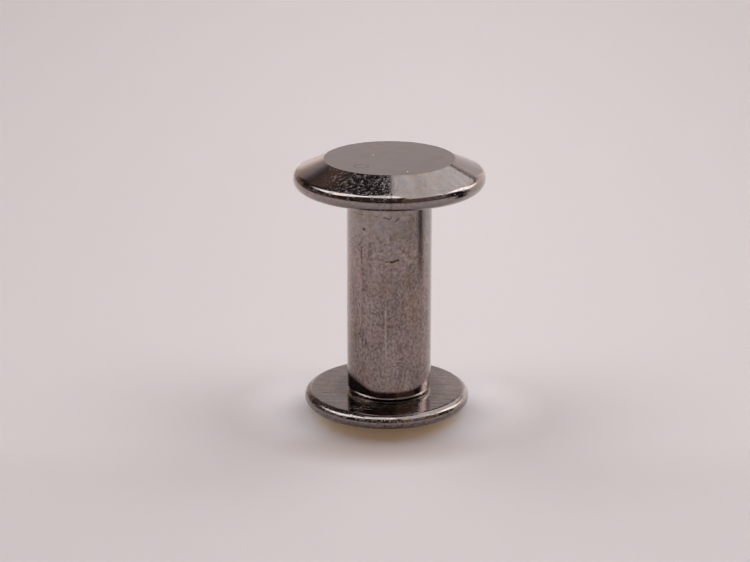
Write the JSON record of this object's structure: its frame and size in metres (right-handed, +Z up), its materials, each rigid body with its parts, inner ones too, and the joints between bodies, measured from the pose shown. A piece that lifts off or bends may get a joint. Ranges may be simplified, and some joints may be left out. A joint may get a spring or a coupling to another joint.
{
  "type": "screw rivet",
  "caption": "Screw rivet: a bevelled round cap on a tubular post, closed by a slotted flat-headed screw that threads into the post from below.",
  "frame": {"origin": "on the axis of the barrel and the shank, in the plane of the face of the screw's head, which the rivet stands on", "axes": "+Z up the barrel towards the cap, +X along the driver slot"},
  "size_m": [0.009, 0.009, 0.0126],
  "materials": {
    "gunmetal": "black nickel plating, bright on the heads and satin on the barrel"
  },
  "bodies": {
    "screw": {"screw": "gunmetal"},
    "post": {"post": "gunmetal"}
  },
  "joints": [
    {"name": "unscrew", "type": "slide", "parent": "screw", "child": "post", "axis": [0, 0, 1], "range_m": [0, 0.016]}
  ]
}
